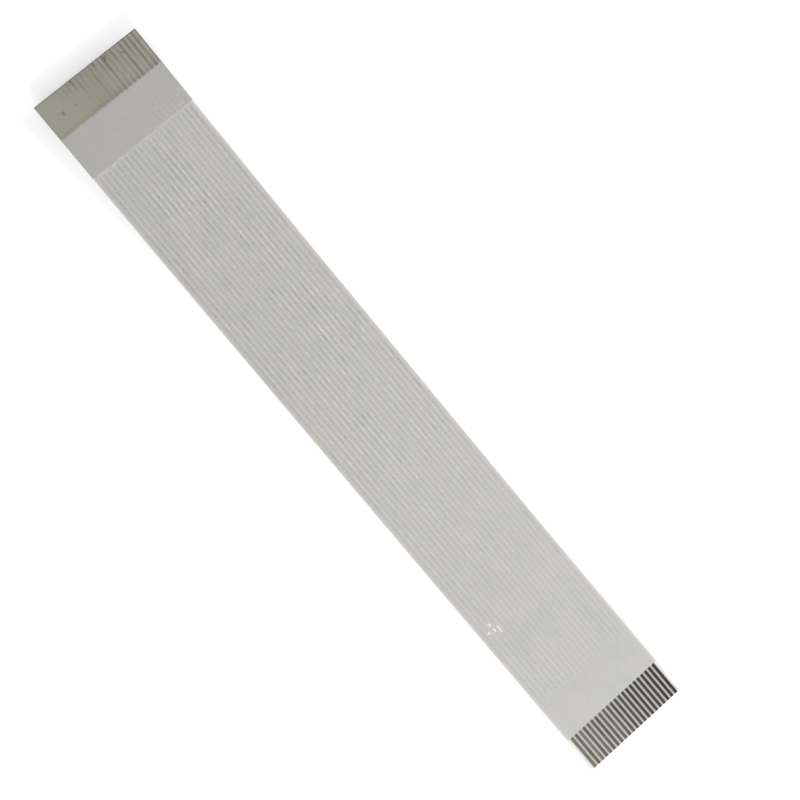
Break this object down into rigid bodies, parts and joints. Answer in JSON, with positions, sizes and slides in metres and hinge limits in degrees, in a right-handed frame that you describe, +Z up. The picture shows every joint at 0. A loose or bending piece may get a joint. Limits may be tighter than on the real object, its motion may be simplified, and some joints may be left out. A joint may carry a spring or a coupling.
{
  "type": "flat flex cable",
  "caption": "Short flat flex cable: flat conductors laminated between white tapes, with stiffened bare contacts on opposite faces of its two ends.",
  "frame": {"origin": "centre of the flat underside that the cable lies on, halfway along it and halfway across it", "axes": "+X along the cable, towards the end whose contacts face up; +Y across the cable; +Z up, out of the face that the contacts of the +X end are on"},
  "size_m": [0.08, 0.0116, 0.0015],
  "materials": {
    "insulation_film": "satin white polyester tape",
    "stiffener_film": "milky polyester tape, satin",
    "tinned_copper": "tin plate, dull"
  },
  "bodies": {
    "root": {"conductor_01": "tinned_copper", "conductor_02": "tinned_copper", "conductor_03": "tinned_copper", "conductor_04": "tinned_copper", "conductor_05": "tinned_copper", "conductor_06": "tinned_copper", "conductor_07": "tinned_copper", "conductor_08": "tinned_copper", "conductor_09": "tinned_copper", "conductor_10": "tinned_copper", "conductor_11": "tinned_copper", "conductor_12": "tinned_copper", "conductor_13": "tinned_copper", "conductor_14": "tinned_copper", "conductor_15": "tinned_copper", "conductor_16": "tinned_copper", "conductor_17": "tinned_copper", "conductor_18": "tinned_copper", "conductor_19": "tinned_copper", "conductor_20": "tinned_copper", "conductor_21": "tinned_copper", "conductor_22": "tinned_copper", "upper_film": "insulation_film", "lower_film": "insulation_film", "upper_stiffener": "stiffener_film", "lower_stiffener": "stiffener_film"}
  },
  "joints": []
}
